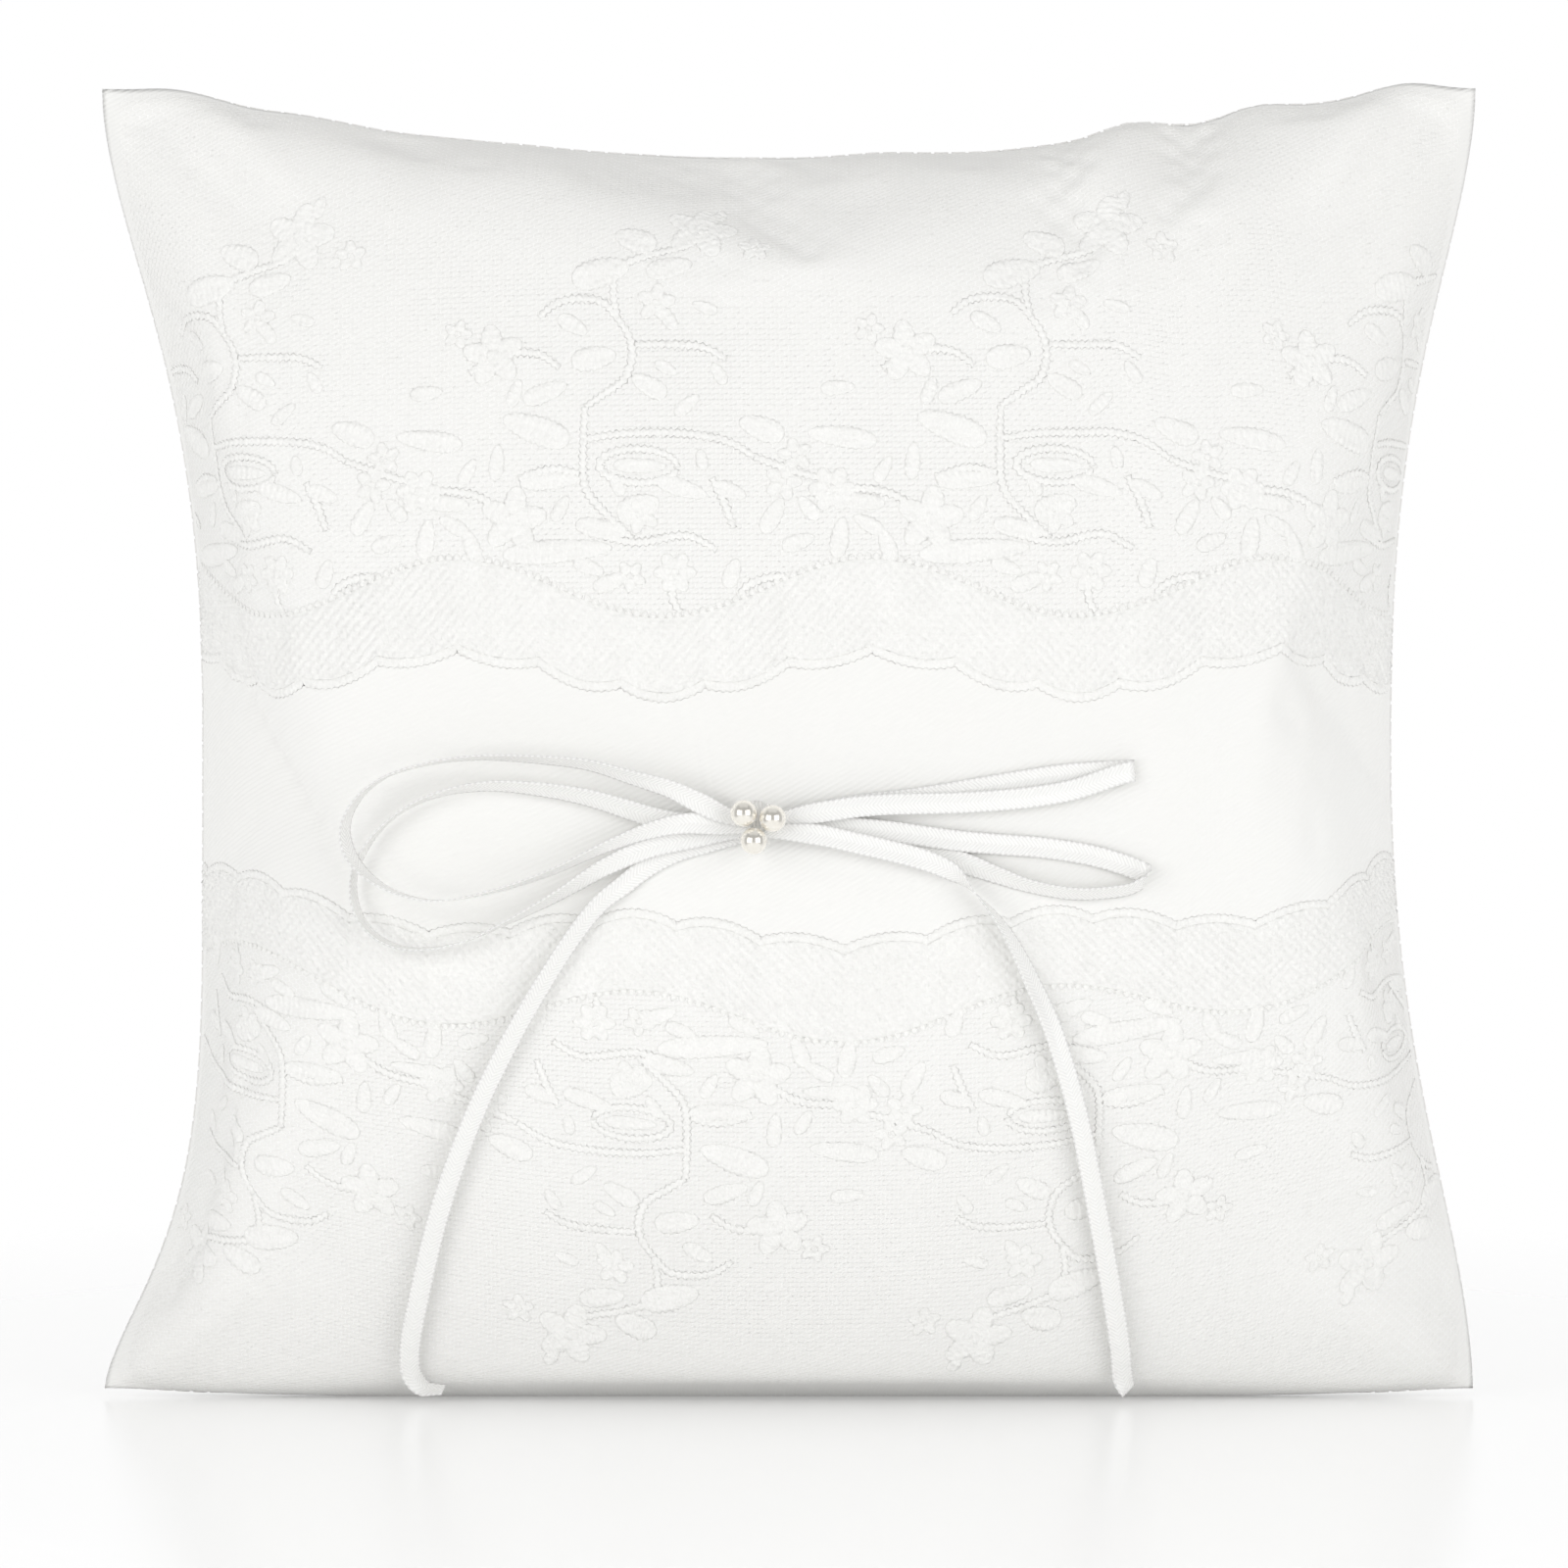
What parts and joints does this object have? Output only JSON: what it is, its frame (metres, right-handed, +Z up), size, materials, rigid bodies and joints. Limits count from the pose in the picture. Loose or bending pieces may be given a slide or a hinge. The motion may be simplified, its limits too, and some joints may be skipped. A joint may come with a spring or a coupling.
{
  "type": "ring bearer pillow",
  "caption": "Square satin ring pillow standing on its lower edge, with scalloped lace above and below a bare band, a narrow ribbon bow with two tails, and a cluster of pearls.",
  "frame": {"origin": "on the surface that the pillow stands on, under the middle of its box", "axes": "+Z up along the pillow's height, -Y out of the decorated front, +X to the right as seen from the front"},
  "size_m": [0.1996, 0.0762, 0.1905],
  "materials": {
    "satin": "off-white polyester satin with a soft sheen",
    "stuffing": "white polyester fibre fill",
    "net": "fine off-white net ground, matt",
    "embroidery": "off-white rayon embroidery thread, low sheen",
    "ribbon": "double-faced off-white satin ribbon with woven edges",
    "pearl": "ivory pearl coat, glossy",
    "thread": "off-white sewing thread"
  },
  "bodies": {
    "root": {"satin_front": "satin", "satin_back": "satin", "stuffing": "stuffing", "lace_net_upper": "net", "lace_border_upper": "embroidery", "scallop_cord_upper": "embroidery", "lace_net_lower": "net", "lace_border_lower": "embroidery", "scallop_cord_lower": "embroidery", "spray_upper_1": "embroidery", "spray_upper_2": "embroidery", "spray_upper_3": "embroidery", "spray_upper_4": "embroidery", "spray_lower_1": "embroidery", "spray_lower_2": "embroidery", "spray_lower_3": "embroidery", "spray_lower_4": "embroidery", "ribbon_loop_left_upper": "ribbon", "ribbon_loop_left_lower": "ribbon", "ribbon_loop_right_upper": "ribbon", "ribbon_loop_right_lower": "ribbon", "ribbon_tail_left": "ribbon", "ribbon_tail_right": "ribbon", "bow_stitch": "thread", "pearl_1": "pearl", "pearl_thread_1": "thread", "pearl_2": "pearl", "pearl_thread_2": "thread", "pearl_3": "pearl", "pearl_thread_3": "thread", "seam_thread": "thread", "closing_stitches": "thread"}
  },
  "joints": []
}
